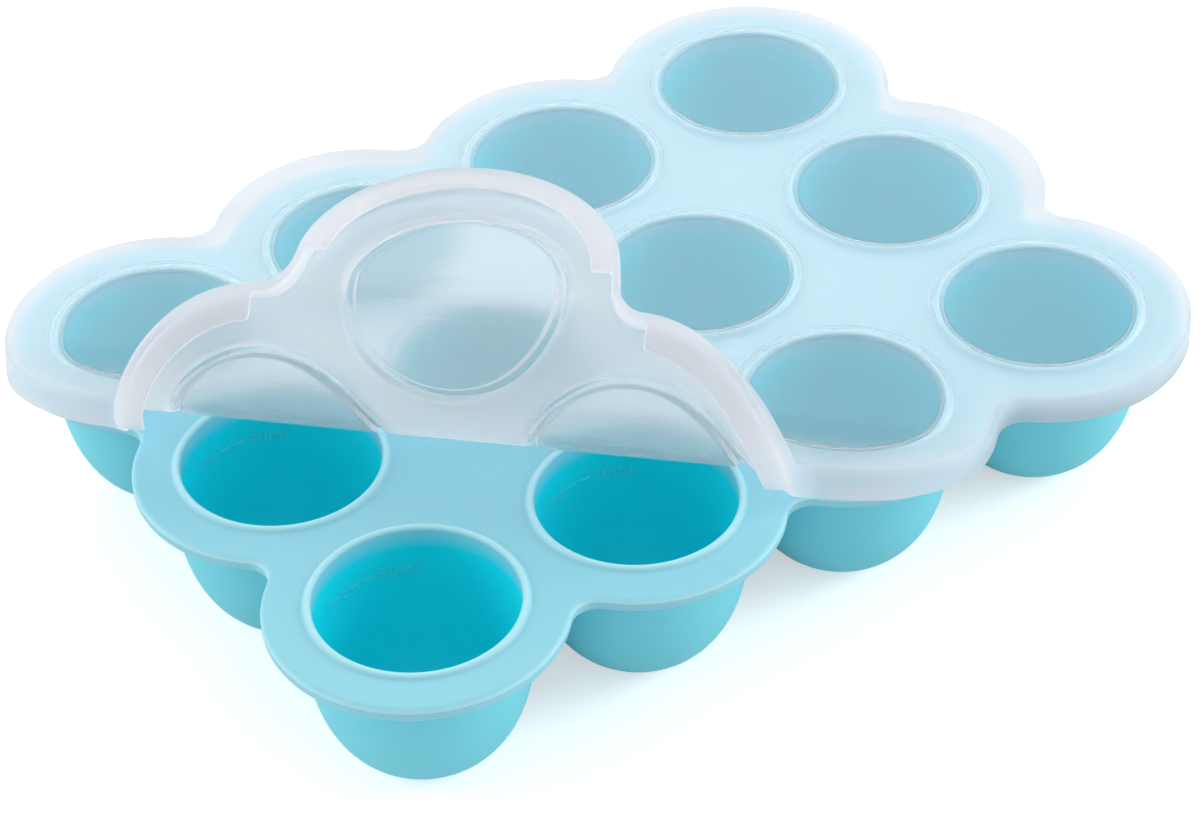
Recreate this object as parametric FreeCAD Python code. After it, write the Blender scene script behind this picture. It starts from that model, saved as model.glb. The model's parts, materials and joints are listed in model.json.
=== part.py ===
"""Baby food freezer tray: a soft tray of round-bottomed cups and a clip-on lid with one corner peeled back.

Millimetres, +Z up. The origin is on the floor under the middle of the cup grid. X runs along the
columns of cups and Y along the rows. The lid is drawn flat and closed first. Then its corner is cut
into strips across the peel and each strip is turned about its hinges, so that the corner lies
folded back over the lid, as it is at rest.
"""

import FreeCAD, Part
import math
import os

# --- Cup grid ---
CUP_COLUMNS = 4
CUP_ROWS = 3
CUP_PITCH = 55.0

# --- Tray ---
TRAY_HEIGHT = 40.2  # floor to the top of the deck
DECK_THICKNESS = 3.5
DECK_EDGE_FILLET = 1.2
DECK_FILLET_SHARE = 0.48  # most of the deck's thickness that its edge fillet may take
LOBE_RADIUS = 32.2  # scallop of the deck round each outer cup
NECK_RADIUS = 5.5  # hollow curve between two scallops

# --- Cups ---
MOUTH_RADIUS = 21.8
CUP_WALL = 2.3
CUP_FLOOR = 2.3
CUP_FOOT_RADIUS = 4.0  # small flat that a cup stands on
CUP_SHAPE = 2.33  # superellipse exponent: 2 is an ellipse, more is squarer
CUP_BULGE = 1.1  # how far the side swells past the superellipse
CUP_ROOT_FILLET = 1.2  # where a cup meets the underside of the deck
PROFILE_STEPS = 9
BEAD_WIDTH = 1.7
BEAD_HEIGHT = 1.0
BEAD_LAND = 0.6  # flat ring between the bead and the joint with the deck

# --- Lid ---
LID_SEAT_GAP = 0.3
LID_PANEL_THICKNESS = 2.0
LID_WALL = 1.5
LID_RIM_CLEARANCE = 0.5  # between the deck's edge and the inside of the lid's skirt
LID_EDGE_FILLET = 1.4
LID_FILLET_SHARE = 0.83  # most of the panel's thickness that its edge fillet may take
BEAD_CLEARANCE = 0.4  # sideways, between a bead and the channel over it
RING_GROOVE_DEPTH = 0.35  # ring on top of the lid over each channel
GRIP_LOBE_REACH = 3.6  # how much further out the two finger-grip scallops stand
CLIP_CLEARANCE = 0.3  # between a clip lip and the underside of the deck
CLIP_THICKNESS = 0.9
CLIP_WIDTH = 4.7  # how far a lip reaches in from the inside of the skirt
CLIP_END_ANGLE = 40.0  # degrees that a lip runs on past the square to each side of its scallop

# --- Peeled corner ---
PEEL_DIRECTION = -134.5  # degrees from +X, from the corner cup out over the corner
LIFT_HINGE_INSET = 66.5  # first hinge, measured inwards from the corner cup's axis
LIFT_ANGLE = 15.3
FOLD_START_INSET = 43.4
FOLD_SPACING = 10.35
FOLD_HINGES = 5
FOLD_ANGLE = 32.7
STRIP_GAP = 0.25
FLEXED_OPEN_STRIP = 1  # the deck stands in the way of its lips, which lie flat against the skirt
SMALLEST_LIP_VOLUME = 1.0

# --- Worked out from the sizes above ---
DECK_UNDERSIDE = TRAY_HEIGHT - DECK_THICKNESS
BEAD_OUTER_RADIUS = MOUTH_RADIUS + BEAD_WIDTH
COLLAR_RADIUS = BEAD_OUTER_RADIUS + BEAD_LAND
LID_UNDERSIDE = TRAY_HEIGHT + LID_SEAT_GAP
LID_TOP = LID_UNDERSIDE + LID_PANEL_THICKNESS
CLIP_BOTTOM = DECK_UNDERSIDE - CLIP_CLEARANCE - CLIP_THICKNESS
SKIRT_INSIDE_OFFSET = LID_RIM_CLEARANCE
SKIRT_OUTSIDE_OFFSET = LID_RIM_CLEARANCE + LID_WALL
CLIP_INNER_RADIUS = LOBE_RADIUS + SKIRT_INSIDE_OFFSET - CLIP_WIDTH
RING_INNER_RADIUS = MOUTH_RADIUS - BEAD_CLEARANCE
RING_OUTER_RADIUS = BEAD_OUTER_RADIUS + BEAD_CLEARANCE
HINGE_INSETS = [LIFT_HINGE_INSET] + [FOLD_START_INSET - FOLD_SPACING * k for k in range(FOLD_HINGES)]
HINGE_ANGLES = [LIFT_ANGLE] + [FOLD_ANGLE] * FOLD_HINGES
LAST_COLUMN = CUP_COLUMNS - 1
LAST_ROW = CUP_ROWS - 1
REACH = CUP_PITCH * (CUP_COLUMNS + CUP_ROWS)  # longer than the whole tray, for cutting blocks
UP = FreeCAD.Vector(0, 0, 1)
PEEL_OUTWARDS = FreeCAD.Vector(
    math.cos(math.radians(PEEL_DIRECTION)), math.sin(math.radians(PEEL_DIRECTION)), 0
)
HINGE_AXIS = PEEL_OUTWARDS.cross(UP)


def cup_centre(column, row):
    """Where a cup's axis stands, column 0 and row 0 being the peeled corner."""
    x = (column - LAST_COLUMN / 2) * CUP_PITCH
    y = (row - LAST_ROW / 2) * CUP_PITCH
    return FreeCAD.Vector(x, y, 0)


def every_cup():
    return [(column, row) for row in range(CUP_ROWS) for column in range(CUP_COLUMNS)]


def edge_cups():
    """The outer cups, counter-clockwise from the peeled corner."""
    front = [(column, 0) for column in range(CUP_COLUMNS)]
    right = [(LAST_COLUMN, row) for row in range(1, CUP_ROWS)]
    back = [(column, LAST_ROW) for column in range(LAST_COLUMN - 1, -1, -1)]
    left = [(0, row) for row in range(LAST_ROW - 1, 0, -1)]
    return front + right + back + left


def side_of(place, last):
    """-1 or 1 at the two ends of the grid, 0 between them."""
    if place == 0:
        return -1
    return 1 if place == last else 0


def at(centre, radius, angle, z=0.0):
    """The point at that angle, in radians, on a level circle."""
    x = centre.x + radius * math.cos(angle)
    y = centre.y + radius * math.sin(angle)
    return FreeCAD.Vector(x, y, z)


def arc(centre, radius, start, end, z):
    """A level arc between two angles in radians."""
    middle = at(centre, radius, (start + end) / 2, z)
    return Part.Arc(at(centre, radius, start, z), middle, at(centre, radius, end, z)).toShape()


def angle_from(centre, point):
    return math.atan2(point.y - centre.y, point.x - centre.x)


def after(angle, start):
    """The same angle, turned on by whole turns until it comes after start."""
    while angle <= start:
        angle += 2 * math.pi
    return angle


def neck_centre(first, second, distance):
    """Centre of the hollow curve that touches two neighbouring scallops from outside."""
    across = second - first
    half = across.Length / 2
    outwards = FreeCAD.Vector(across.y, -across.x, 0).normalize()
    return (first + second) / 2 + outwards * math.sqrt(distance ** 2 - half ** 2)


def scallop_centres(grip_reach):
    """Centres of the outer scallops, with the two finger-grip ones moved outwards."""
    grips = {(LAST_COLUMN, 1): FreeCAD.Vector(1, 0, 0), (1, LAST_ROW): FreeCAD.Vector(0, 1, 0)}
    centres = []
    for cup in edge_cups():
        outwards = grips.get(cup, FreeCAD.Vector(0, 0, 0))
        centres.append(cup_centre(*cup) + outwards * grip_reach)
    return centres


def scalloped_face(offset, z, grip_reach):
    """The deck's scalloped outline, grown by offset, as a level face."""
    radius = LOBE_RADIUS + offset
    neck = NECK_RADIUS - offset
    centres = scallop_centres(grip_reach)
    count = len(centres)
    necks = [neck_centre(centres[k], centres[(k + 1) % count], radius + neck) for k in range(count)]
    edges = []
    for k, centre in enumerate(centres):
        start = angle_from(centre, necks[k - 1])
        end = after(angle_from(centre, necks[k]), start)
        edges.append(arc(centre, radius, start, end, z))
        following = centres[(k + 1) % count]
        neck_end = angle_from(necks[k], following)
        neck_start = after(angle_from(necks[k], centre), neck_end)
        edges.append(arc(necks[k], neck, neck_start, neck_end, z))
    return Part.Face(Part.Wire(edges))


def level_edges(shape, z):
    """The edges that lie all round at one height."""
    return [e for e in shape.Edges if abs(e.BoundBox.ZMin - z) < 1e-6 and abs(e.BoundBox.ZMax - z) < 1e-6]


def tube(centre, inner, outer, bottom, height):
    base = FreeCAD.Vector(centre.x, centre.y, bottom)
    return Part.makeCylinder(outer, height, base).cut(Part.makeCylinder(inner, height, base))


def tray_deck():
    """The flat scalloped deck, rounded all round its edge, with a hole for each cup."""
    deck = scalloped_face(0.0, DECK_UNDERSIDE, 0.0).extrude(UP * DECK_THICKNESS)
    rim = level_edges(deck, DECK_UNDERSIDE) + level_edges(deck, TRAY_HEIGHT)
    deck = deck.makeFillet(min(DECK_EDGE_FILLET, DECK_THICKNESS * DECK_FILLET_SHARE), rim)
    holes = []
    for cup in every_cup():
        centre = cup_centre(*cup)
        foot = FreeCAD.Vector(centre.x, centre.y, DECK_UNDERSIDE)
        holes.append(Part.makeCylinder(COLLAR_RADIUS, DECK_THICKNESS, foot))
    return deck.cut(Part.makeCompound(holes))


def cup_side(top_radius, top, bottom):
    """A cup's side from top to foot as one smooth curve in the XZ plane."""
    points = []
    for step in range(PROFILE_STEPS + 1):
        turn = math.pi / 2 * step / PROFILE_STEPS
        out = math.cos(turn) ** (2 / CUP_SHAPE) if step < PROFILE_STEPS else 0.0
        down = math.sin(turn) ** (2 / CUP_SHAPE)
        radius = CUP_FOOT_RADIUS + (top_radius - CUP_FOOT_RADIUS) * out + CUP_BULGE * out * down
        points.append(FreeCAD.Vector(radius, 0, top - (top - bottom) * down))
    downwards = FreeCAD.Vector(CUP_BULGE, 0, bottom - top).normalize()
    curve = Part.BSplineCurve()
    curve.interpolate(Points=points, InitialTangent=downwards, FinalTangent=FreeCAD.Vector(-1, 0, 0))
    return curve.toShape()


def line(start, end):
    return Part.makeLine(FreeCAD.Vector(start[0], 0, start[1]), FreeCAD.Vector(end[0], 0, end[1]))


def cup():
    """One cup on the Z axis: collar through the deck, bead round the mouth and rounded body."""
    wall_radius = MOUTH_RADIUS + CUP_WALL
    root_top = DECK_UNDERSIDE
    root_bottom = root_top - CUP_ROOT_FILLET
    root_radius = wall_radius + CUP_ROOT_FILLET
    slant = CUP_ROOT_FILLET * math.sqrt(0.5)
    root = Part.Arc(
        FreeCAD.Vector(root_radius, 0, root_top),
        FreeCAD.Vector(root_radius - slant, 0, root_bottom + slant),
        FreeCAD.Vector(wall_radius, 0, root_bottom),
    )
    bead = Part.Arc(
        FreeCAD.Vector(MOUTH_RADIUS, 0, TRAY_HEIGHT),
        FreeCAD.Vector(MOUTH_RADIUS + BEAD_WIDTH / 2, 0, TRAY_HEIGHT + BEAD_HEIGHT),
        FreeCAD.Vector(BEAD_OUTER_RADIUS, 0, TRAY_HEIGHT),
    )
    profile = [
        line((0, 0), (CUP_FOOT_RADIUS, 0)),
        cup_side(wall_radius, root_bottom, 0.0),
        root.toShape(),
        line((root_radius, root_top), (COLLAR_RADIUS, root_top)),
        line((COLLAR_RADIUS, root_top), (COLLAR_RADIUS, TRAY_HEIGHT)),
        line((COLLAR_RADIUS, TRAY_HEIGHT), (BEAD_OUTER_RADIUS, TRAY_HEIGHT)),
        bead.toShape(),
        cup_side(MOUTH_RADIUS, TRAY_HEIGHT, CUP_FLOOR),
        line((CUP_FOOT_RADIUS, CUP_FLOOR), (0, CUP_FLOOR)),
        line((0, CUP_FLOOR), (0, 0)),
    ]
    section = Part.Face(Part.Wire(Part.__sortEdges__(profile)))
    return section.revolve(FreeCAD.Vector(0, 0, 0), UP, 360)


def closed_lid():
    """The whole lid, closed: scalloped panel and skirt, with a channel over each cup's bead."""
    height = LID_TOP - CLIP_BOTTOM
    lid = scalloped_face(SKIRT_OUTSIDE_OFFSET, CLIP_BOTTOM, GRIP_LOBE_REACH).extrude(UP * height)
    fillet = min(LID_EDGE_FILLET, LID_PANEL_THICKNESS * LID_FILLET_SHARE)
    lid = lid.makeFillet(fillet, level_edges(lid, LID_TOP))
    depth = LID_UNDERSIDE - CLIP_BOTTOM
    hollow = scalloped_face(SKIRT_INSIDE_OFFSET, CLIP_BOTTOM, GRIP_LOBE_REACH).extrude(UP * depth)
    rings = []
    for cup_place in every_cup():
        centre = cup_centre(*cup_place)
        rings.append(tube(centre, RING_INNER_RADIUS, RING_OUTER_RADIUS, LID_UNDERSIDE, BEAD_HEIGHT))
        top_groove = LID_TOP - RING_GROOVE_DEPTH
        rings.append(
            tube(centre, RING_INNER_RADIUS, RING_OUTER_RADIUS, top_groove, RING_GROOVE_DEPTH)
        )
    return lid.cut(hollow).cut(Part.makeCompound(rings))


def clip_lip(column, row):
    """The lip under one scallop of the closed lid, turned in below the deck's edge."""
    across = side_of(column, LAST_COLUMN)
    along = side_of(row, LAST_ROW)
    middle = math.degrees(math.atan2(along, across))
    half_sweep = CLIP_END_ANGLE + (45.0 if across and along else 0.0)
    centre = cup_centre(column, row)
    base = FreeCAD.Vector(centre.x, centre.y, CLIP_BOTTOM)
    sector = Part.makeCylinder(LOBE_RADIUS + CUP_PITCH / 2, CLIP_THICKNESS, base, UP, 2 * half_sweep)
    sector.rotate(base, UP, middle - half_sweep)
    sector = sector.cut(Part.makeCylinder(CLIP_INNER_RADIUS, CLIP_THICKNESS, base))
    inside = scalloped_face(SKIRT_INSIDE_OFFSET, CLIP_BOTTOM, GRIP_LOBE_REACH)
    return inside.extrude(UP * CLIP_THICKNESS).common(sector)


def strip_block(strip):
    """The block that cuts one strip from the closed lid. Strip 0 is all that stays clipped on."""
    near = HINGE_INSETS[strip - 1] - STRIP_GAP / 2 if strip > 0 else REACH
    far = HINGE_INSETS[strip] + STRIP_GAP / 2 if strip < len(HINGE_INSETS) else -REACH
    corner = FreeCAD.Vector(-near, -REACH, CLIP_BOTTOM - LID_WALL)
    block = Part.makeBox(near - far, 2 * REACH, LID_TOP - CLIP_BOTTOM + 2 * LID_WALL, corner)
    block.rotate(FreeCAD.Vector(0, 0, 0), UP, PEEL_DIRECTION)
    block.translate(cup_centre(0, 0))
    return block


def hinge_point(hinge):
    """Where a hinge's axis crosses the peel line on the closed lid, on its top face."""
    return cup_centre(0, 0) - PEEL_OUTWARDS * HINGE_INSETS[hinge] + UP * LID_TOP


def peeled(shape, strip):
    """The shape carried from the closed lid to where its strip lies at rest."""
    moved = shape.copy()
    for hinge in range(strip - 1, -1, -1):
        moved.rotate(hinge_point(hinge), HINGE_AXIS, HINGE_ANGLES[hinge])
    return moved


def save(name, shape):
    """Writes one node's solid and prints its size."""
    if shape.ShapeType != "Solid":
        shape = shape.Solids[0]
    shape.exportStep("parts/" + name + ".step")
    print(name, shape.isValid(), round(shape.Volume, 2))


def strip_name(strip):
    if strip == 0:
        return "lid_panel"
    if strip == len(HINGE_INSETS):
        return "peel_corner"
    return "peel_strip_%d" % strip


def build():
    os.makedirs("parts", exist_ok=True)
    save("tray_deck", tray_deck())
    one_cup = cup()
    for column, row in every_cup():
        placed = one_cup.copy()
        placed.translate(cup_centre(column, row))
        save("cup_%d_%d" % (column + 1, row + 1), placed)
    lid = closed_lid()
    for strip in range(len(HINGE_INSETS) + 1):
        save(strip_name(strip), peeled(lid.common(strip_block(strip)), strip))
    lipped_strips = [k for k in range(len(HINGE_INSETS) + 1) if k != FLEXED_OPEN_STRIP]
    for column, row in edge_cups():
        lip = clip_lip(column, row)
        for strip in lipped_strips:
            piece = lip.common(strip_block(strip))
            if piece.Volume > SMALLEST_LIP_VOLUME:
                name = "clip_%d_%d_on_%s" % (column + 1, row + 1, strip_name(strip))
                save(name, peeled(piece, strip))


build()
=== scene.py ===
"""Looks for the baby food freezer tray: a sky blue silicone tray and its milky lid, one corner peeled back.

Pieces are modelled in millimetres in the row frame and brought to metres when they are finished. The lid is
modelled flat and closed, in one sheet. It is then creased and rolled along the peel, and cut where its rigid
bodies meet, so that each length of the bend turns about one joint.
"""

import json
import math

import bmesh
import bpy
from mathutils import Matrix, Vector
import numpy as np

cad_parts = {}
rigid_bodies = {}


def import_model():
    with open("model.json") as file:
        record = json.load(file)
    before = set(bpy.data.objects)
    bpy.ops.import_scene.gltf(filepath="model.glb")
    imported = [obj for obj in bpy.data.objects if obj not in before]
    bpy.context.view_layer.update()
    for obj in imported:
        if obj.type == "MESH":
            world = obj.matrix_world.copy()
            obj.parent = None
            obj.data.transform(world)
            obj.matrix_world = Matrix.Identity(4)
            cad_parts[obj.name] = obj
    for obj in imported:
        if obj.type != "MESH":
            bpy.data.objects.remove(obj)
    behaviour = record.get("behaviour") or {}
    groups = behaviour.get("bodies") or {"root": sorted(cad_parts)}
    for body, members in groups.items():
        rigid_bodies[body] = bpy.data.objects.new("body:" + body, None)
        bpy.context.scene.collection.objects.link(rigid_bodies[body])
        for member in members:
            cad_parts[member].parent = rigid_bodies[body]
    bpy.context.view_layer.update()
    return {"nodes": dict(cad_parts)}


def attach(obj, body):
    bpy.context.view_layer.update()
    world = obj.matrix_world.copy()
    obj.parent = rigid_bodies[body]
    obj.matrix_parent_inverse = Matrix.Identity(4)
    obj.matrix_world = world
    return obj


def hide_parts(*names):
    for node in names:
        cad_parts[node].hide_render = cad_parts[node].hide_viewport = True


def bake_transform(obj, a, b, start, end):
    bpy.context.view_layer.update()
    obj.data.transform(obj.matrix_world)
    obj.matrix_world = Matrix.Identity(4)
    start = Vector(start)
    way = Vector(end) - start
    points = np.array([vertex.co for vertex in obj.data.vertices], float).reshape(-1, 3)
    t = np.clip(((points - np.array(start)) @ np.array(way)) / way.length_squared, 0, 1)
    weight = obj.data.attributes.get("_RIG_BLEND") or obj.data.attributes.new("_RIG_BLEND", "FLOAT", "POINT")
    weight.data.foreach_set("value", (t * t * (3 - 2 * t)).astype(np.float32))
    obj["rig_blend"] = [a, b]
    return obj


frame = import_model()

# --- Sizes, in millimetres ---
MM = 0.001
COLUMNS, ROWS = 4, 3
PITCH = 55.0
LOBE_RADIUS = 32.2
NECK_RADIUS = 5.5
SCALLOP_STEP, NECK_STEP = 2.5, 9.0  # turn of each step of an outline, in degrees
FLAT_MARGIN = 0.3  # flat strip beside a rounding, which keeps a sheet's shading level
TOUCH = 0.01  # places nearer than this are taken as one
SEAM = 0.001  # and points of a seam that are nearer than this are joined
CRISP = math.radians(50.0)  # a sharper turn between two faces than this is an edge
LEVEL = 0.9  # a face is level where its normal's height is over this

DECK_TOP = 40.2
DECK_UNDERSIDE = 36.7
DECK_EDGE_ROUND = 1.2
CUP_MOUTH = 21.8  # radius inside the bead
CUP_OUTSIDE = 24.1
CUP_FLOOR = 2.3
CUP_FOOT = 4.0  # radius of the small flat that a cup stands on
CUP_SHAPE = 2.33  # superellipse exponent: 2 is an ellipse, more is squarer
CUP_BULGE = 1.1
CUP_ROOT = 1.2  # hollow round where a cup meets the underside of the deck
CUP_STEPS = 80  # steps round a cup
BEAD_MIDDLE = 22.65
BEAD_ROUND = 0.861
BEAD_HEIGHT = 1.0
BEAD_TURNS = [20, 45, 70, 90, 110, 135, 160, 183]  # degrees round the bead, from outside to inside
BEAD_RUN_UP = [(25.2, 0.0), (24.3, 0.0), (23.85, 0.05), (23.6, 0.2)]  # radius, and height over the deck
ROOT_RUN_UP = [26.4, 25.7]  # radii
ROOT_TURNS = [90, 112, 135, 158, 180]
FULL_SHADE_DEPTH = 3.0  # below the deck's faces, where a cup has its full painted shade, deep and saturated
OUTER_SHADE_SHARE = 0.35  # share of that painted shade on the outside of the cups, below the deck
RIM_PAINTED_HIGHLIGHT = 1.6  # painted highlight of a face on edge in the deck's rounded rim, though no more than 1.0 shows

MARK_HEIGHT = 30.0  # middle of the graduation on the inside of each cup
MARK_WALL = 21.73  # the wall's radius there
MARK_TILT = math.radians(3.5)  # as the wall leans there
MARK_RAISED = 0.24
MARK_SIZE = 4.3
MARK_MIDDLE = 0.35  # share of a sign's size from its foot to its middle
MARK_ROUND = 0.08
MARK_THINNING = 0.09  # off each side of a sign's strokes
DASH_LENGTH, DASH_WIDTH, DASH_ROUND = 2.85, 0.5, 0.1
MARK_SHADE_SHARE = 0.72  # share of the cups' painted shade that the raised strokes take: less than the wall's, so they show paler, a painted highlight
# Each sign of the graduation and where it stands, in degrees from +X about the cup's axis
MARK_SIGNS = [("1", 118.5), ("o", 111.5), ("z", 104.7)]
MARK_SIGNS += [("3", 79.3), ("0", 72.8), ("m", 65.0), ("l", 58.9)]
MARK_DASHES = [97.3, 87.5]

LID_TOP = 42.5
LID_UNDERSIDE = 40.5
SKIRT_FOOT = 35.5
SKIRT_OUTSIDE = 2.0  # beyond the deck's scallops
SKIRT_WALL = 1.5
LID_NECK_RADIUS = 6.5  # the lid's outline runs softer between scallops than the deck's
LID_EDGE_ROUND = 1.4
CEILING_ROUND = 0.5
GRIP_REACH = 3.6  # how much further out the finger grips stand
LIP_THICKNESS = 0.9
LIP_RADIUS = 28.0
LIP_END = math.radians(40.0)
LIP_END_ROUND = 1.1  # less than one step of the outline, so it stays clear of the next one
LIP_EDGE_ROUND = 0.3
STEEP_HIGHLIGHT_MILKINESS = 1.5  # milkiness that a face on edge has over a level one: a painted highlight, drawing the steep faces as bright lines
SHEET_MILKINESS, SKIRT_MILKINESS = 0.28, 0.38
CLEAR_DISC = 24.0  # radius over each cup where the lid's mould is polished
DISC_BORDER = 0.8  # width over which the polish gives way to frost

# The ring over each cup, as radius and depth, from the sheet inwards. It is a shallow, soft groove above, and
# below it a channel for the bead, with a soft outer wall and a crisp inner one.
GROOVE = [(24.9, 0.0), (24.5, 0.0), (24.0, 0.03), (23.4, 0.09), (22.6, 0.12), (21.9, 0.09), (21.5, 0.03)]
GROOVE += [(21.1, 0.0), (20.7, 0.0)]
CHANNEL = [(25.0, 0.0), (24.6, 0.0), (24.2, 0.1), (23.8, 0.4), (23.5, 0.75), (23.2, 0.95), (22.9, 1.0)]
CHANNEL += [(21.9, 1.0), (21.6, 0.9), (21.4, 0.4), (21.3, 0.15), (21.0, 0.0), (20.5, 0.0)]
RING_STEPS = 120  # steps round a ring

PEEL_DIRECTION = math.radians(-134.5)  # out over the peeled corner
LIFT_INSET = 66.5  # of a hinge, from the corner cup's axis
LIFT_ANGLE = math.radians(15.3)
LIFT_SPREAD = 14.0  # how wide the crease is
FIRST_FOLD_INSET, FOLDS, FOLD_SPACING = 43.4, 5, 10.35
FOLD_INSETS = [FIRST_FOLD_INSET - FOLD_SPACING * fold for fold in range(FOLDS)]
FOLD_ANGLE = math.radians(32.7)
CREASE_CUTS, ROLL_CUTS = 7, 8  # lengths that each bend is cut into, to bend in

CORNER = Vector((-1.5 * PITCH, -PITCH, 0.0))
PEEL_TO_Y = math.pi / 2 - (PEEL_DIRECTION + math.pi)
LEVEL_WITH_PEEL = Matrix.Rotation(PEEL_TO_Y, 4, "Z") @ Matrix.Translation(-CORNER)


def cup_centre(column, row):
    return Vector(((column - (COLUMNS + 1) / 2) * PITCH, (row - (ROWS + 1) / 2) * PITCH, 0.0))


def all_cups():
    return [(column, row) for row in range(1, ROWS + 1) for column in range(1, COLUMNS + 1)]


def outer_cups():
    """The cups round the edge, counter-clockwise from the peeled corner."""
    front = [(column, 1) for column in range(1, COLUMNS + 1)]
    right = [(COLUMNS, row) for row in range(2, ROWS + 1)]
    back = [(column, ROWS) for column in range(COLUMNS - 1, 0, -1)]
    left = [(1, row) for row in range(ROWS - 1, 1, -1)]
    return front + right + back + left


def scallop_centre(cup, grip_reach=GRIP_REACH):
    """The lid's two finger grips stand further out than its other scallops."""
    grips = {(COLUMNS, 2): Vector((grip_reach, 0, 0)), (2, ROWS): Vector((0, grip_reach, 0))}
    return cup_centre(*cup) + grips.get(cup, Vector((0, 0, 0)))


# --- Modelling by hand, in code ---


def begin(primitive, **settings):
    """A new primitive in edit mode, with nothing else selected."""
    if bpy.context.object and bpy.context.object.mode != "OBJECT":
        bpy.ops.object.mode_set(mode="OBJECT")
    bpy.ops.object.select_all(action="DESELECT")
    primitive(**settings)
    piece = bpy.context.object
    bpy.ops.object.mode_set(mode="EDIT")
    bpy.ops.mesh.select_mode(type="VERT")
    bpy.ops.mesh.select_all(action="SELECT")
    return piece


def open_up(piece):
    """Takes one piece alone into edit mode."""
    bpy.ops.object.select_all(action="DESELECT")
    piece.select_set(True)
    bpy.context.view_layer.objects.active = piece
    bpy.ops.object.mode_set(mode="EDIT")


def pick(piece, kind, test):
    """Selects the vertices, edges or faces that pass the test, and nothing else."""
    bpy.ops.mesh.select_mode(type={"verts": "VERT", "edges": "EDGE", "faces": "FACE"}[kind])
    bpy.ops.mesh.select_all(action="DESELECT")
    mesh = bmesh.from_edit_mesh(piece.data)
    for part in getattr(mesh, kind):
        if test(part):
            part.select_set(True)
    mesh.select_flush_mode()
    bmesh.update_edit_mesh(piece.data)


def near(value, target, within=TOUCH):
    return abs(value - target) < within


def angle_of(vector):
    return math.atan2(vector.y, vector.x)


def turn_between(start, end):
    """The turn from one direction to another, counter-clockwise, between 0 and a full turn."""
    return (end - start) % (2 * math.pi)


def raise_faces(height):
    bpy.ops.mesh.extrude_region_move(TRANSFORM_OT_translate={"value": (0, 0, height)})


def round_in(radius, steps, outwards):
    """Insets the selected flat face in steps that draw a quarter round, out of it (1) or into it (-1)."""
    turns = [math.pi / 2 * step / steps for step in range(steps + 1)]
    for turn, following in zip(turns, turns[1:]):
        across = radius * (math.cos(turn) - math.cos(following))
        along = radius * (math.sin(following) - math.sin(turn))
        bpy.ops.mesh.inset(thickness=across, depth=along * outwards)


def scalloped_face(radius, neck, grip_reach, height):
    """A level face in a scalloped outline, drawn by a point that turns about each scallop and neck."""
    cups = outer_cups()
    centres = [scallop_centre(cup, grip_reach) for cup in cups]
    necks = []
    for first, second in zip(centres, centres[1:] + centres[:1]):
        across = second - first
        outwards = Vector((across.y, -across.x, 0)).normalized()
        reach = math.sqrt((radius + neck) ** 2 - (across.length / 2) ** 2)
        necks.append((first + second) / 2 + outwards * reach)
    start = angle_of(necks[-1] - centres[0])
    piece = begin(bpy.ops.mesh.primitive_plane_add, size=1)
    bpy.ops.mesh.merge(type="CENTER")
    first_point = centres[0] + Vector((math.cos(start), math.sin(start), 0)) * radius
    bpy.ops.transform.translate(value=first_point + Vector((0, 0, height)))
    for k, centre in enumerate(centres):
        sweep = turn_between(angle_of(necks[k - 1] - centre), angle_of(necks[k] - centre))
        steps = round(math.degrees(sweep) / SCALLOP_STEP)
        bpy.ops.mesh.spin(steps=steps, angle=-sweep, center=centre, axis=(0, 0, 1))
        following = centres[(k + 1) % len(centres)]
        sweep = turn_between(angle_of(following - necks[k]), angle_of(centre - necks[k]))
        steps = round(math.degrees(sweep) / NECK_STEP)
        bpy.ops.mesh.spin(steps=steps, angle=sweep, center=necks[k], axis=(0, 0, 1))
    bpy.ops.mesh.select_all(action="SELECT")
    bpy.ops.mesh.remove_doubles(threshold=TOUCH)
    bpy.ops.mesh.edge_face_add()
    return piece


def shell_of_lid():
    """The lid's skirt and rounded edge and the faces that its lips grow from, with no sheet yet."""
    piece = scalloped_face(LOBE_RADIUS + SKIRT_OUTSIDE, LID_NECK_RADIUS, GRIP_REACH, SKIRT_FOOT)
    raise_faces(LID_TOP - LID_EDGE_ROUND - SKIRT_FOOT)
    bpy.ops.mesh.select_all(action="SELECT")
    bpy.ops.mesh.normals_make_consistent(inside=False)
    pick(piece, "faces", lambda f: f.normal.z > LEVEL)
    round_in(LID_EDGE_ROUND, steps=6, outwards=1)
    bpy.ops.mesh.inset(thickness=FLAT_MARGIN, depth=0)
    bpy.ops.mesh.delete(type="ONLY_FACE")
    pick(piece, "faces", lambda f: f.normal.z < -LEVEL)
    bpy.ops.mesh.inset(thickness=SKIRT_WALL, depth=0)
    raise_faces(LIP_THICKNESS)
    raise_faces(LID_UNDERSIDE - CEILING_ROUND - SKIRT_FOOT - LIP_THICKNESS)
    round_in(CEILING_ROUND, steps=3, outwards=-1)
    bpy.ops.mesh.inset(thickness=FLAT_MARGIN, depth=0)
    bpy.ops.mesh.delete(type="ONLY_FACE")
    return piece


def inset_of(point):
    """How far in from the corner cup's axis a point of the flat lid lies, along the peel."""
    return (LEVEL_WITH_PEEL @ point).y


def sides_of(cup):
    """-1 or 1 for each way in which the cup is at the end of the grid, and 0 for each other way."""
    column, row = cup
    return {1: -1, COLUMNS: 1}.get(column, 0), {1: -1, ROWS: 1}.get(row, 0)


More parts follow.
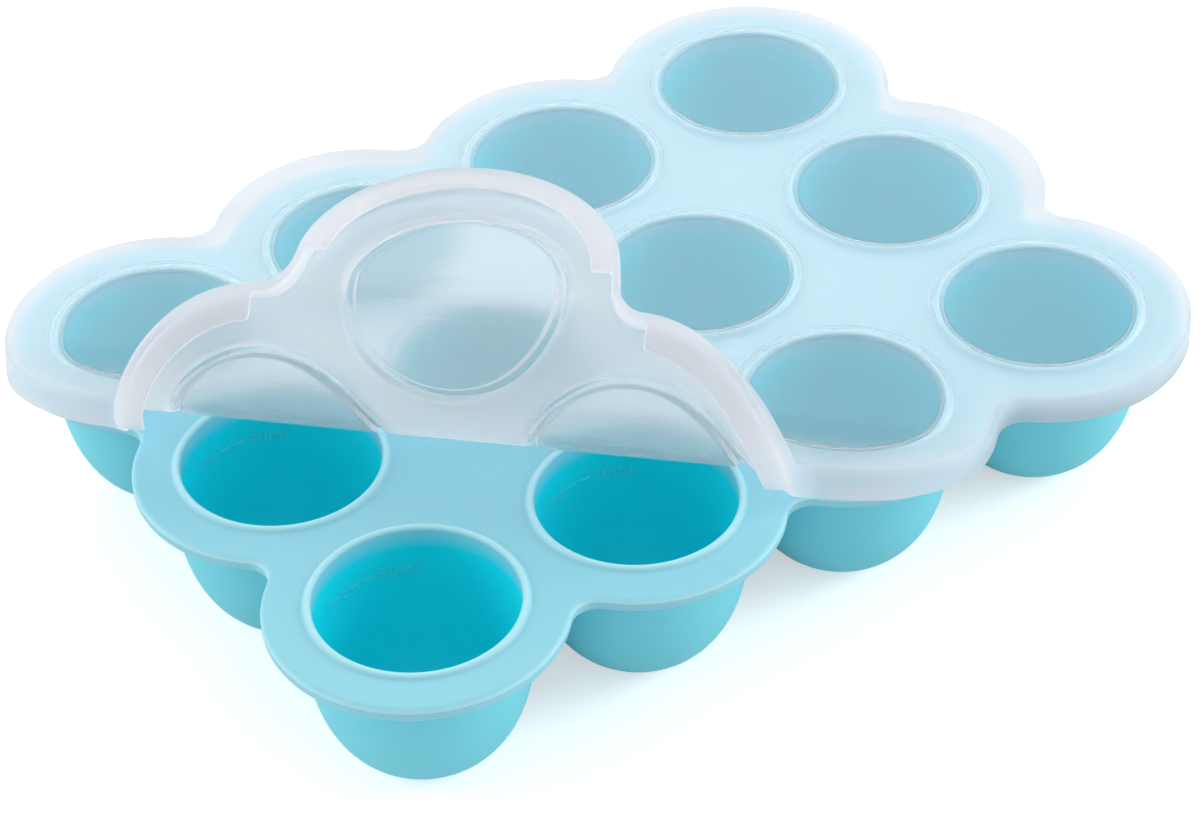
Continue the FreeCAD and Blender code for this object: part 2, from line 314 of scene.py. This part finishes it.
def clip_lips(piece):
    """Draws the foot of the skirt in under each scallop as a lip.

    Between the far side of the crease and the first roll the skirt is bent open over the deck, and has none.
    """
    inner_radius = LOBE_RADIUS + SKIRT_OUTSIDE - SKIRT_WALL

    def in_lip_row(face, cup):
        middle = face.calc_center_median()
        away = middle - scallop_centre(cup)
        at_foot = near(middle.z, SKIRT_FOOT + LIP_THICKNESS / 2)
        if not at_foot or not near(away.xy.length, inner_radius, within=0.1):
            return False
        if FOLD_INSETS[0] + FOLD_SPACING / 2 < inset_of(middle) < LIFT_INSET + LIFT_SPREAD / 2:
            return False
        side_x, side_y = sides_of(cup)
        spread = LIP_END + (math.pi / 4 if side_x and side_y else 0)
        off = turn_between(math.atan2(side_y, side_x) - math.pi, angle_of(away)) - math.pi
        return abs(off) < spread

    for cup in outer_cups():
        pick(piece, "faces", lambda face, cup=cup: in_lip_row(face, cup))
        centre = scallop_centre(cup)
        shrink = LIP_RADIUS / inner_radius
        bpy.ops.mesh.extrude_region_move(TRANSFORM_OT_translate={"value": (0, 0, 0)})
        bpy.ops.transform.resize(value=(shrink, shrink, 1), center_override=centre)
        bpy.ops.transform.translate(value=cup_centre(*cup) - centre)


def lathe(profile, steps):
    """A ring or a cup, spun from a profile of radius and height, with a disc at its last radius."""
    piece = begin(bpy.ops.mesh.primitive_plane_add, size=1)
    bpy.ops.mesh.merge(type="CENTER")
    bpy.ops.transform.translate(value=(profile[0][0], 0, profile[0][1]))
    for (radius, height), (next_radius, next_height) in zip(profile, profile[1:]):
        step = (next_radius - radius, 0, next_height - height)
        bpy.ops.mesh.extrude_vertices_move(TRANSFORM_OT_translate={"value": step})
    bpy.ops.mesh.select_all(action="SELECT")
    bpy.ops.mesh.spin(steps=steps, angle=2 * math.pi, center=(0, 0, 0), axis=(0, 0, 1), use_auto_merge=True)
    bpy.ops.mesh.select_all(action="SELECT")
    bpy.ops.mesh.remove_doubles(threshold=SEAM)
    smallest, height = profile[-1]
    pick(piece, "verts", lambda v: near(v.co.xy.length, smallest) and near(v.co.z, height))
    bpy.ops.mesh.edge_face_add()
    bpy.ops.object.mode_set(mode="OBJECT")
    return piece


def copies_over_cups(original):
    """A copy of the piece over each cup, each with its own mesh, in place of the original."""
    made = []
    for cup in all_cups():
        copy = original.copy()
        copy.data = original.data.copy()
        copy.data.transform(Matrix.Translation(cup_centre(*cup)))
        bpy.context.scene.collection.objects.link(copy)
        made.append(copy)
    bpy.data.objects.remove(original)
    return made


def join(piece, others):
    bpy.ops.object.select_all(action="DESELECT")
    for other in [piece] + others:
        other.select_set(True)
    bpy.context.view_layer.objects.active = piece
    bpy.ops.object.join()


def set_into_shell(shell, heights, lathed):
    """Joins the lathed forms, copied over each cup, to the open shell, and fills the level sheets between."""
    bpy.ops.object.mode_set(mode="OBJECT")
    join(shell, [copy for form in lathed for copy in copies_over_cups(form)])
    open_up(shell)
    for height in heights:
        pick(shell, "edges", lambda e, height=height: e.is_boundary and near(e.verts[0].co.z, height))
        bpy.ops.mesh.fill(use_beauty=True)
    bpy.ops.mesh.select_all(action="SELECT")
    bpy.ops.mesh.normals_make_consistent(inside=False)


def soften_lips(piece):
    """Rounds the lips' corners as seen from below, then every crisp edge of the lips and the skirt's foot."""
    lip_top = SKIRT_FOOT + LIP_THICKNESS

    def crisp(edge):
        return edge.is_manifold and edge.calc_face_angle() > CRISP

    def lip_corner(edge):
        low, high = sorted(v.co.z for v in edge.verts)
        upright = edge.calc_length() < LIP_THICKNESS * 1.5
        return upright and near(low, SKIRT_FOOT) and near(high, lip_top) and crisp(edge)

    pick(piece, "edges", lip_corner)
    bpy.ops.mesh.bevel(offset=LIP_END_ROUND, segments=4, affect="EDGES")
    pick(piece, "edges", lambda e: crisp(e) and max(v.co.z for v in e.verts) < lip_top + TOUCH)
    bpy.ops.mesh.bevel(offset=LIP_EDGE_ROUND, segments=2, affect="EDGES")


def closed_lid():
    """The whole lid, flat, with its ring over each cup and its lips."""
    piece = shell_of_lid()
    clip_lips(piece)
    groove = lathe([(radius, LID_TOP - depth) for radius, depth in GROOVE], RING_STEPS)
    channel = lathe([(radius, LID_UNDERSIDE + depth) for radius, depth in CHANNEL], RING_STEPS)
    set_into_shell(piece, (LID_TOP, LID_UNDERSIDE), [groove, channel])
    soften_lips(piece)
    return piece


def note(piece, name, value_at):
    """Keeps a number for each vertex of the piece in edit mode, for its material to read."""
    mesh = bmesh.from_edit_mesh(piece.data)
    mesh.normal_update()
    kept = mesh.verts.layers.float.new(name)
    for v in mesh.verts:
        v[kept] = min(1.0, max(0.0, value_at(v)))
    bmesh.update_edit_mesh(piece.data)


def milkiness_at(v):
    """How milky a place of the flat lid looks: clear in the discs over the cups, and frosted round them.

    It is whiter in the skirt, and whitest on small steep faces, a painted highlight that draws them as bright
    lines.
    """
    off_axis = min((v.co.xy - cup_centre(*cup).xy).length for cup in all_cups())
    frosted = SHEET_MILKINESS * min(1.0, max(0.0, (off_axis - CLEAR_DISC) / DISC_BORDER))
    in_skirt = v.co.z < LID_UNDERSIDE - CEILING_ROUND
    # Painted highlight: small steep faces are made milkier, so they show as bright lines
    return SKIRT_MILKINESS if in_skirt else frosted + STEEP_HIGHLIGHT_MILKINESS * (1 - abs(v.normal.z))


class Bend:
    """One joint of the peel, as an arc of the sheet whose two flats would meet at the joint's hinge."""

    def __init__(self, inset, angle, width, cuts):
        self.start, self.end = inset + width / 2, inset - width / 2
        self.width, self.angle = width, angle
        self.radius = width / 2 / math.tan(angle / 2)
        self.cuts = [self.start - width * cut / cuts for cut in range(cuts + 1)]

    def carry(self, flat_inset, along, height):
        """Where the bend takes a point on or beyond it, as its place along the peel and its height."""
        turn = self.angle * min(1.0, (self.start - flat_inset) / self.width)
        beyond = self.end - along if flat_inset < self.end else 0.0
        from_axis = self.radius + LID_TOP - height
        return (
            self.start - from_axis * math.sin(turn) - beyond * math.cos(turn),
            LID_TOP + self.radius - from_axis * math.cos(turn) + beyond * math.sin(turn),
        )


CREASE = Bend(LIFT_INSET, LIFT_ANGLE, LIFT_SPREAD, CREASE_CUTS)
ROLLS = [Bend(inset, FOLD_ANGLE, FOLD_SPACING, ROLL_CUTS) for inset in FOLD_INSETS]
HAIR = 0.001  # past a cut, so that its own vertices are picked too


def cut_bends(piece):
    """Turns the flat lid so that insets run along Y, and cuts each bend across, for lines to bend in."""
    bpy.ops.object.mode_set(mode="OBJECT")
    piece.data.transform(LEVEL_WITH_PEEL)
    open_up(piece)
    for bend in [CREASE] + ROLLS:
        for inset in bend.cuts:
            bpy.ops.mesh.select_all(action="SELECT")
            bpy.ops.mesh.bisect(plane_co=(0, inset, 0), plane_no=(0, 1, 0))
    mesh = bmesh.from_edit_mesh(piece.data)
    flat_inset = mesh.verts.layers.float.new("flat_inset")
    for v in mesh.verts:
        v[flat_inset] = v.co.y
    bmesh.update_edit_mesh(piece.data)


def pick_beyond(piece, inset, up_to=-math.inf):
    """Selects the vertices that lay further out than one inset on the flat lid, up to another."""
    bpy.ops.mesh.select_mode(type="VERT")
    bpy.ops.mesh.select_all(action="DESELECT")
    mesh = bmesh.from_edit_mesh(piece.data)
    flat_inset = mesh.verts.layers.float["flat_inset"]
    for v in mesh.verts:
        v.select = up_to <= v[flat_inset] < inset
    mesh.select_flush_mode()
    bmesh.update_edit_mesh(piece.data)


def fold_over(piece):
    """Rolls and creases the corner up and back over the lid, from the corner inwards.

    Every point turns by its own share of the bend. Turning the sheet fold by fold would stretch the foot of
    the skirt at the folds alone, and leave its edge in steps.
    """
    mesh = bmesh.from_edit_mesh(piece.data)
    flat_inset = mesh.verts.layers.float["flat_inset"]
    for bend in [CREASE, *ROLLS][::-1]:
        for v in mesh.verts:
            if v[flat_inset] < bend.start:
                v.co.yz = bend.carry(v[flat_inset], v.co.y, v.co.z)
    bmesh.update_edit_mesh(piece.data)


def cut_off(piece, name, inset, up_to=-math.inf):
    """Takes what lay between two insets off the folded lid, as a piece of its own."""
    pick_beyond(piece, inset, up_to)
    before = set(bpy.data.objects)
    bpy.ops.mesh.separate(type="SELECTED")
    taken = (set(bpy.data.objects) - before).pop()
    taken.name = name
    return taken


def cup_side(radius_at_top, top, bottom, steps=18):
    """A cup's side from its top to its foot, as radius and height."""
    side = []
    for step in range(1, steps + 1):
        turn = math.pi / 2 * step / steps
        out, down = math.cos(turn) ** (2 / CUP_SHAPE), math.sin(turn) ** (2 / CUP_SHAPE)
        radius = CUP_FOOT + (radius_at_top - CUP_FOOT) * out + CUP_BULGE * out * down
        side.append((radius, top - (top - bottom) * down))
    return side


def arc_profile(radius, height, size, turns):
    """Points of a round in a profile, at those turns in degrees."""
    turns = [math.radians(turn) for turn in turns]
    return [(radius + size * math.cos(turn), height + size * math.sin(turn)) for turn in turns]


def tray_moulding():
    """The deck and its twelve cups in one piece, each cup with a bead round its mouth."""

    # Painted highlight, paler, on the steep faces of the deck's rounded top rim
    def painted_highlight_in_rim(v):
        in_rim = v.co.z > DECK_TOP - DECK_EDGE_ROUND
        return RIM_PAINTED_HIGHLIGHT * (1 - abs(v.normal.z)) if in_rim else 0

    piece = scalloped_face(LOBE_RADIUS, NECK_RADIUS, 0, DECK_UNDERSIDE + DECK_EDGE_ROUND)
    raise_faces(DECK_TOP - DECK_UNDERSIDE - 2 * DECK_EDGE_ROUND)
    bpy.ops.mesh.select_all(action="SELECT")
    bpy.ops.mesh.normals_make_consistent(inside=False)
    for up in (1, -1):
        pick(piece, "faces", lambda f, up=up: f.normal.z * up > LEVEL)
        round_in(DECK_EDGE_ROUND, steps=6, outwards=1)
        bpy.ops.mesh.inset(thickness=FLAT_MARGIN, depth=0)
        bpy.ops.mesh.delete(type="ONLY_FACE")
    note(piece, "painted_highlight", painted_highlight_in_rim)
    bead_centre = DECK_TOP + BEAD_HEIGHT - BEAD_ROUND
    inside = [(radius, DECK_TOP + height) for radius, height in BEAD_RUN_UP]
    inside += arc_profile(BEAD_MIDDLE, bead_centre, BEAD_ROUND, BEAD_TURNS)
    inside += cup_side(CUP_MOUTH, DECK_TOP, CUP_FLOOR)
    root_centre = CUP_OUTSIDE + CUP_ROOT, DECK_UNDERSIDE - CUP_ROOT
    outside = [(radius, DECK_UNDERSIDE) for radius in ROOT_RUN_UP]
    outside += arc_profile(*root_centre, CUP_ROOT, ROOT_TURNS)
    outside += cup_side(CUP_OUTSIDE, DECK_UNDERSIDE - CUP_ROOT, 0)
    cavity = lathe(inside, CUP_STEPS)
    open_up(cavity)
    # Painted shade, deeper and more saturated, down the cup's hollow; painted highlight, paler, up the bead
    note(cavity, "depth", lambda v: (DECK_TOP - v.co.z) / FULL_SHADE_DEPTH if v.co.xy.length < BEAD_MIDDLE else 0)
    note(cavity, "painted_highlight", lambda v: (v.co.z - DECK_TOP) / BEAD_HEIGHT)
    belly = lathe(outside, CUP_STEPS)
    open_up(belly)
    # A share of the painted shade on the cup's outside, below the deck
    note(belly, "depth", lambda v: OUTER_SHADE_SHARE * min(1.0, (DECK_UNDERSIDE - v.co.z) / FULL_SHADE_DEPTH))
    set_into_shell(piece, (DECK_TOP, DECK_UNDERSIDE), [cavity, belly])
    return piece


def on_wall(turn, height):
    """A place on a cup's wall, and the turn about Z that faces it inwards, for a cup at the origin."""
    around = math.radians(turn)
    return (MARK_WALL * math.cos(around), MARK_WALL * math.sin(around), height), around - math.pi / 2


def raised_sign(sign, turn):
    bpy.ops.object.select_all(action="DESELECT")
    place, facing = on_wall(turn, MARK_HEIGHT - MARK_SIZE * MARK_MIDDLE)
    bpy.ops.object.text_add(location=place, rotation=(math.pi / 2 - MARK_TILT, 0, facing))
    text = bpy.context.object
    text.data.body, text.data.size, text.data.align_x = sign, MARK_SIZE, "CENTER"
    text.data.extrude, text.data.bevel_depth = MARK_RAISED - MARK_ROUND, MARK_ROUND
    text.data.offset = -MARK_THINNING
    text.data.resolution_u = 4
    bpy.ops.object.convert(target="MESH")
    return closed_stroke(bevel=0)


def raised_dash(turn):
    bpy.ops.object.select_all(action="DESELECT")
    place, facing = on_wall(turn, MARK_HEIGHT)
    scale = (DASH_LENGTH, 2 * MARK_RAISED, DASH_WIDTH)
    bpy.ops.mesh.primitive_cube_add(size=1, location=place, rotation=(-MARK_TILT, 0, facing), scale=scale)
    return closed_stroke(bevel=DASH_ROUND)


def closed_stroke(bevel):
    """Closes the seams of the new stroke and notes how much of the cups' painted shade it takes."""
    stroke = bpy.context.object
    bpy.ops.object.transform_apply(location=True, rotation=True, scale=True)
    open_up(stroke)
    bpy.ops.mesh.select_all(action="SELECT")
    bpy.ops.mesh.remove_doubles(threshold=SEAM)
    bpy.ops.mesh.normals_make_consistent(inside=False)
    if bevel:
        bpy.ops.mesh.bevel(offset=bevel, segments=2, affect="EDGES")
    # The strokes take less of the cups' painted shade than the wall does, a painted highlight that shows them
    # paler
    note(stroke, "depth", lambda v: MARK_SHADE_SHARE)
    bpy.ops.object.mode_set(mode="OBJECT")
    return stroke


def graduation():
    """The raised signs and dashes that stand on a cup's wall, for a cup at the origin."""
    strokes = [raised_sign(sign, turn) for sign, turn in MARK_SIGNS]
    strokes += [raised_dash(turn) for turn in MARK_DASHES]
    join(strokes[0], strokes[1:])
    return strokes[0]


def finish(piece, material, sharp=CRISP):
    """Brings a modelled piece to its place in metres, smooth but for crisp edges, with its material on."""
    if bpy.context.object and bpy.context.object.mode != "OBJECT":
        bpy.ops.object.mode_set(mode="OBJECT")
    flat_inset = piece.data.attributes.get("flat_inset")
    if flat_inset:
        piece.data.attributes.remove(flat_inset)
        piece.data.transform(LEVEL_WITH_PEEL.inverted())
    piece.data.transform(Matrix.Scale(MM, 4))
    piece.data.name = piece.name
    bpy.ops.object.select_all(action="DESELECT")
    piece.select_set(True)
    bpy.context.view_layer.objects.active = piece
    bpy.ops.object.shade_smooth_by_angle(angle=sharp)
    piece.data.materials.clear()
    piece.data.materials.append(material)
    return piece


# --- Materials ---

SILICONE_IOR = 1.41
PIGMENT_DRIFT = 40.0  # in mm, across a patch that differs a little in colour
TRAY_GRAIN, LID_GRAIN = 0.5, 0.6  # in mm
GRAIN_HEIGHT = 0.1  # in mm, of the bumps that a blasted tool leaves
SUBSURFACE_DEPTH = 3.0  # in mm, that light goes into the tray's silicone
THICK_MILKINESS = 0.8  # from here on the lid has its full thick colour


def paint(code):
    """An sRGB hex colour as the linear numbers that a shader takes."""
    parts = [int(code[k : k + 2], 16) / 255 for k in (1, 3, 5)]
    return tuple(c / 12.92 if c <= 0.04045 else ((c + 0.055) / 1.055) ** 2.4 for c in parts) + (1.0,)


def node(tree, kind, sockets=None, **settings):
    """Adds a node. A socket is given a value, or the output that feeds it."""
    made = tree.nodes.new(kind)
    for name, value in settings.items():
        setattr(made, name, value)
    for name, value in (sockets or {}).items():
        if isinstance(value, bpy.types.NodeSocket):
            tree.links.new(value, made.inputs[name])
        else:
            made.inputs[name].default_value = value
    return made


def blank_material(name):
    material = bpy.data.materials.new(name)
    material.use_nodes = True
    material.node_tree.nodes.clear()
    return material, material.node_tree


def tray_silicone(name):
    """Pigmented platinum-cured silicone, moulded in a blasted steel tool: matte, hazy and even in colour.

    The insides of the cups have a painted shade, deeper and more saturated down the hollows, with a share
    of it on the outsides below the deck. The beads and the deck's rounded rim have a painted highlight,
    paler.
    """
    material, tree = blank_material(name)
    place = node(tree, "ShaderNodeTexCoord").outputs["Object"]
    # Pigment drifts a little over some 40 mm, as it does in a mixed batch
    patches = {"Vector": place, "Scale": 1 / (PIGMENT_DRIFT * MM), "Detail": 2.0}
    drift = node(tree, "ShaderNodeTexNoise", patches).outputs["Fac"]
    depth = node(tree, "ShaderNodeAttribute", attribute_name="depth").outputs["Fac"]
    painted_highlight = node(tree, "ShaderNodeAttribute", attribute_name="painted_highlight").outputs["Fac"]
    colour = paint("#95D7E6")
    # Random drift in the pigment; painted shade, deep saturated cyan, in the cups' hollows and under the
    # deck; painted highlight, pale, on the beads and the rim
    for share, towards in ((drift, "#8FD3E4"), (depth, "#10E3F1"), (painted_highlight, "#B4E8F2")):
        pigment = {0: share, 6: colour, 7: paint(towards)}
        colour = node(tree, "ShaderNodeMix", pigment, data_type="RGBA").outputs[2]
    # The blasted tool leaves a 0.1 mm grain, drawn here at 0.5 mm so that it shows
    pits = {"Vector": place, "Scale": 1 / (TRAY_GRAIN * MM), "Detail": 3.0}
    grain = node(tree, "ShaderNodeTexNoise", pits).outputs["Fac"]
    relief = {"Height": grain, "Strength": 0.12, "Distance": GRAIN_HEIGHT * MM}
    haze = {"Value": grain, "To Min": 0.44, "To Max": 0.56}
    silicone = {
        "Base Color": colour,
        "Roughness": node(tree, "ShaderNodeMapRange", haze).outputs["Result"],
        "IOR": SILICONE_IOR,
        "Normal": node(tree, "ShaderNodeBump", relief).outputs["Normal"],
        "Subsurface Weight": 0.2,
        "Subsurface Radius": (0.4, 0.9, 1.0),
        "Subsurface Scale": SUBSURFACE_DEPTH * MM,
    }
    shader = node(tree, "ShaderNodeBsdfPrincipled", silicone)
    node(tree, "ShaderNodeOutputMaterial", {"Surface": shader.outputs["BSDF"]})
    return material


def lid_silicone(name):
    """Unpigmented silicone, moulded 2 mm thick: milky, with what lies under it showing softly and paler.

    The tool is polished over the cups, where the lid is clear, and blasted round them, where it is frosted.
    The thick rims and the skirt are cloudy and a little greyer; small steep faces have a painted highlight.
    """
    material, tree = blank_material(name)
    place = node(tree, "ShaderNodeTexCoord").outputs["Object"]
    # The blasted tool's 0.1 mm grain, drawn at 0.6 mm so that it shows
    pits = {"Vector": place, "Scale": 1 / (LID_GRAIN * MM), "Detail": 2.0}
    grain = node(tree, "ShaderNodeTexNoise", pits).outputs["Fac"]
    relief = {"Height": grain, "Strength": 0.08, "Distance": GRAIN_HEIGHT * MM}
    bumps = node(tree, "ShaderNodeBump", relief).outputs["Normal"]
    # What the milkiness changes: from one milkiness to another, and what that does
    changes = {
        "frost": (0, SHEET_MILKINESS, 0.2, 0.38),
        "greyness": (SHEET_MILKINESS, THICK_MILKINESS, 0, 1),
        "clearness": (0, 1, 0.97, 0.45),
        "cover": (0, SHEET_MILKINESS, 0.97, 0.7),
        "cloud": (0, 1, 0.06, 0.5),
    }
    milkiness = node(tree, "ShaderNodeAttribute", attribute_name="milkiness").outputs["Fac"]
    milky = {}
    for change, limits in changes.items():
        limits = dict(zip(("From Min", "From Max", "To Min", "To Max"), limits))
        milky[change] = node(tree, "ShaderNodeMapRange", {"Value": milkiness, **limits}).outputs["Result"]
    haze = {"Value": grain, "To Min": -0.03, "To Max": 0.03}
    haze = {0: milky["frost"], 1: node(tree, "ShaderNodeMapRange", haze).outputs["Result"]}
    colour = {0: milky["greyness"], 6: paint("#FBF7F8"), 7: paint("#E8ECF2")}
    colour = node(tree, "ShaderNodeMix", colour, data_type="RGBA").outputs[2]
    silicone = {
        "Base Color": colour,
        "Roughness": node(tree, "ShaderNodeMath", haze, operation="ADD").outputs["Value"],
        "IOR": SILICONE_IOR,
        "Transmission Weight": milky["clearness"],
        "Alpha": milky["cover"],
        "Normal": bumps,
    }
    clear = node(tree, "ShaderNodeBsdfPrincipled", silicone).outputs["BSDF"]
    # Cloudy silicone sends as much light on as back
    cloud = node(tree, "ShaderNodeBsdfTranslucent", {"Color": colour, "Normal": bumps}).outputs["BSDF"]
    lit = node(tree, "ShaderNodeMixShader", {0: milky["cloud"], 1: clear, 2: cloud}).outputs["Shader"]
    # It also lets a part of the lamps' light through, so what lies under the lid isn't left dark
    lamp_ray = node(tree, "ShaderNodeLightPath").outputs["Is Shadow Ray"]
    onward = node(tree, "ShaderNodeBsdfTransparent", {"Color": paint("#BCC4CA")}).outputs["BSDF"]
    sheet = node(tree, "ShaderNodeMixShader", {0: lamp_ray, 1: lit, 2: onward})
    node(tree, "ShaderNodeOutputMaterial", {"Surface": sheet.outputs["Shader"]})
    return material


# --- The lid ---

milky_white = lid_silicone("milky moulded silicone")
flat_lid = closed_lid()
note(flat_lid, "milkiness", milkiness_at)
cut_bends(flat_lid)
fold_over(flat_lid)
corner = cut_off(flat_lid, "lid_corner", ROLLS[-1].end + HAIR)
rolls = []
for k, roll in enumerate(ROLLS):
    rolls.append(cut_off(flat_lid, "lid_roll_%d" % (k + 1), roll.start + HAIR, roll.end - HAIR))
crease = cut_off(flat_lid, "lid_crease", CREASE.start + HAIR, CREASE.end - HAIR)
# Between the crease and the first roll the sheet is straight, and goes with the first roll
straight = cut_off(flat_lid, "lid_straight", CREASE.end + HAIR, ROLLS[0].start - HAIR)
flat_lid.name = "lid_sheet"
for piece in [flat_lid, crease, straight, *rolls, corner]:
    finish(piece, milky_white)


def on_sheet(inset, rolled=0):
    """A point on top of the sheet at rest, in metres: short of the rolls, or where some of them are done."""
    turn = rolled * FOLD_ANGLE
    along = inset - ROLLS[0].radius * math.sin(turn)
    height = LID_TOP + ROLLS[0].radius * (1 - math.cos(turn))
    if inset < CREASE.start:
        along, height = CREASE.carry(inset, along, height)
    return LEVEL_WITH_PEEL.inverted() @ Vector((0, along, height)) * MM


def nodes_on(node_name):
    """The CAD node of that name and the lips that are cut from it."""
    return [n for n in frame["nodes"] if n == node_name or n.endswith("_on_" + node_name)]


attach(flat_lid, "lid")
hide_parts(*nodes_on("lid_panel"))
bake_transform(crease, "lid", "peel_strip_1", start=on_sheet(CREASE.start), end=on_sheet(CREASE.end))
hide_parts("peel_strip_1")
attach(straight, "peel_strip_1")
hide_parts("peel_strip_1")
for k, piece in enumerate(rolls):
    bodies = ["peel_strip_%d" % (k + 1), "peel_strip_%d" % (k + 2) if k + 1 < len(rolls) else "peel_corner"]
    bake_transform(piece, *bodies, start=on_sheet(ROLLS[0].start, k), end=on_sheet(ROLLS[0].start, k + 1))
    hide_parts(*nodes_on(bodies[1]))
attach(corner, "peel_corner")
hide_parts(*nodes_on("peel_corner"))

# --- The tray ---

sky_blue = tray_silicone("sky blue moulded silicone")
tray = finish(tray_moulding(), sky_blue)
tray.name = "tray_moulding"
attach(tray, "tray")
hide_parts(*[name for name in frame["nodes"] if name == "tray_deck" or name.startswith("cup_")])

for cup, mark in zip(all_cups(), copies_over_cups(graduation())):
    mark.name = "graduation_%d_%d" % cup
    finish(mark, sky_blue, sharp=math.radians(30))
    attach(mark, "tray")

# --- Studio ---

FLOOR_SIZE = 8.0  # this and the places and sizes below are in metres
FLOOR_GAP = 0.1 * MM  # below the cups' feet, so that the two don't lie in one plane
FLOOR_GLOW = 0.5  # over its lit colour, where it is seen
GLOW_THROUGH_LID = 0.2  # share of that glow where it is seen by way of the lid
WORLD_LIGHT, WORLD_SEEN = 0.62, 1.0

CAMERA_PLACE = (-0.3434, -0.5237, 0.5288)
AZIMUTH, ELEVATION, ROLL = -0.5803, 0.6890, -0.0309  # in radians
SENSOR_WIDTH, FOCAL_LENGTH = 36.0, 105.75  # in mm


def seen_as_background(tree, by_way_of_lid):
    """1 where the camera sees the studio, a share where it does by way of the lid, and 0 for light given."""
    path = node(tree, "ShaderNodeLightPath").outputs
    way = {0: path["Is Glossy Ray"], 1: path["Is Transmission Ray"]}
    way = node(tree, "ShaderNodeMath", way, operation="MAXIMUM").outputs["Value"]
    share = node(tree, "ShaderNodeMath", {0: way, 1: by_way_of_lid}, operation="MULTIPLY").outputs["Value"]
    seen = {0: path["Is Camera Ray"], 1: share}
    return node(tree, "ShaderNodeMath", seen, operation="MAXIMUM").outputs["Value"]


def studio_white(name, colour):
    """A pale surface that takes shadows and is seen a little brighter than it is lit."""
    material, tree = blank_material(name)
    lit = node(tree, "ShaderNodeBsdfDiffuse", {"Color": paint(colour)}).outputs["BSDF"]
    glow = node(tree, "ShaderNodeEmission", {"Color": paint("#FFFFFF"), "Strength": FLOOR_GLOW})
    both = node(tree, "ShaderNodeAddShader", {0: lit, 1: glow.outputs["Emission"]}).outputs["Shader"]
    seen = seen_as_background(tree, GLOW_THROUGH_LID)
    surface = node(tree, "ShaderNodeMixShader", {0: seen, 1: lit, 2: both})
    node(tree, "ShaderNodeOutputMaterial", {"Surface": surface.outputs["Shader"]})
    return material


def softbox(name, place, size, power):
    """A large soft lamp that faces the tray."""
    data = bpy.data.lights.new(name, "AREA")
    data.shape, data.size, data.energy = "SQUARE", size, power
    lamp = bpy.data.objects.new(name, data)
    bpy.context.scene.collection.objects.link(lamp)
    lamp.location = place
    lamp.rotation_euler = (-Vector(place)).to_track_quat("-Z", "Y").to_euler()


bpy.ops.object.select_all(action="DESELECT")
bpy.ops.mesh.primitive_plane_add(size=FLOOR_SIZE, location=(0, 0, -FLOOR_GAP))
floor = bpy.context.object
bpy.ops.object.transform_apply(location=True)
floor.name = "floor"
floor.data.materials.append(studio_white("studio floor", "#F2F2F2"))

world = bpy.data.worlds.new("studio")
bpy.context.scene.world = world
world.use_nodes = True
tree = world.node_tree
tree.nodes.clear()
strength = {"Value": seen_as_background(tree, 1), "To Min": WORLD_LIGHT, "To Max": WORLD_SEEN}
strength = node(tree, "ShaderNodeMapRange", strength).outputs["Result"]
sky = node(tree, "ShaderNodeBackground", {"Color": paint("#FFFFFF"), "Strength": strength})
node(tree, "ShaderNodeOutputWorld", {"Surface": sky.outputs["Background"]})

softbox("back softbox", place=(0.4, 0.9, 1.2), size=1.2, power=5)
softbox("right softbox", place=(1.3, -0.85, 0.75), size=0.8, power=12)
softbox("left softbox", place=(-1.2, 0.8, 0.7), size=0.8, power=8)

# The camera looks down from the front left, tipped a little to one side
across = math.cos(ELEVATION)
back = Vector((math.sin(AZIMUTH) * across, -math.cos(AZIMUTH) * across, math.sin(ELEVATION)))
level = Vector((math.cos(AZIMUTH), math.sin(AZIMUTH), 0))
upright = back.cross(level)
right = level * math.cos(ROLL) + upright * math.sin(ROLL)
upwards = upright * math.cos(ROLL) - level * math.sin(ROLL)
aim = Matrix((right, upwards, back)).transposed().to_4x4()
camera = bpy.data.objects.new("camera", bpy.data.cameras.new("camera"))
bpy.context.scene.collection.objects.link(camera)
camera.matrix_world = Matrix.Translation(CAMERA_PLACE) @ aim
camera.data.sensor_width, camera.data.lens = SENSOR_WIDTH, FOCAL_LENGTH
camera.data.clip_end = 20.0
bpy.context.scene.camera = camera
bpy.context.scene.view_settings.view_transform = "Standard"
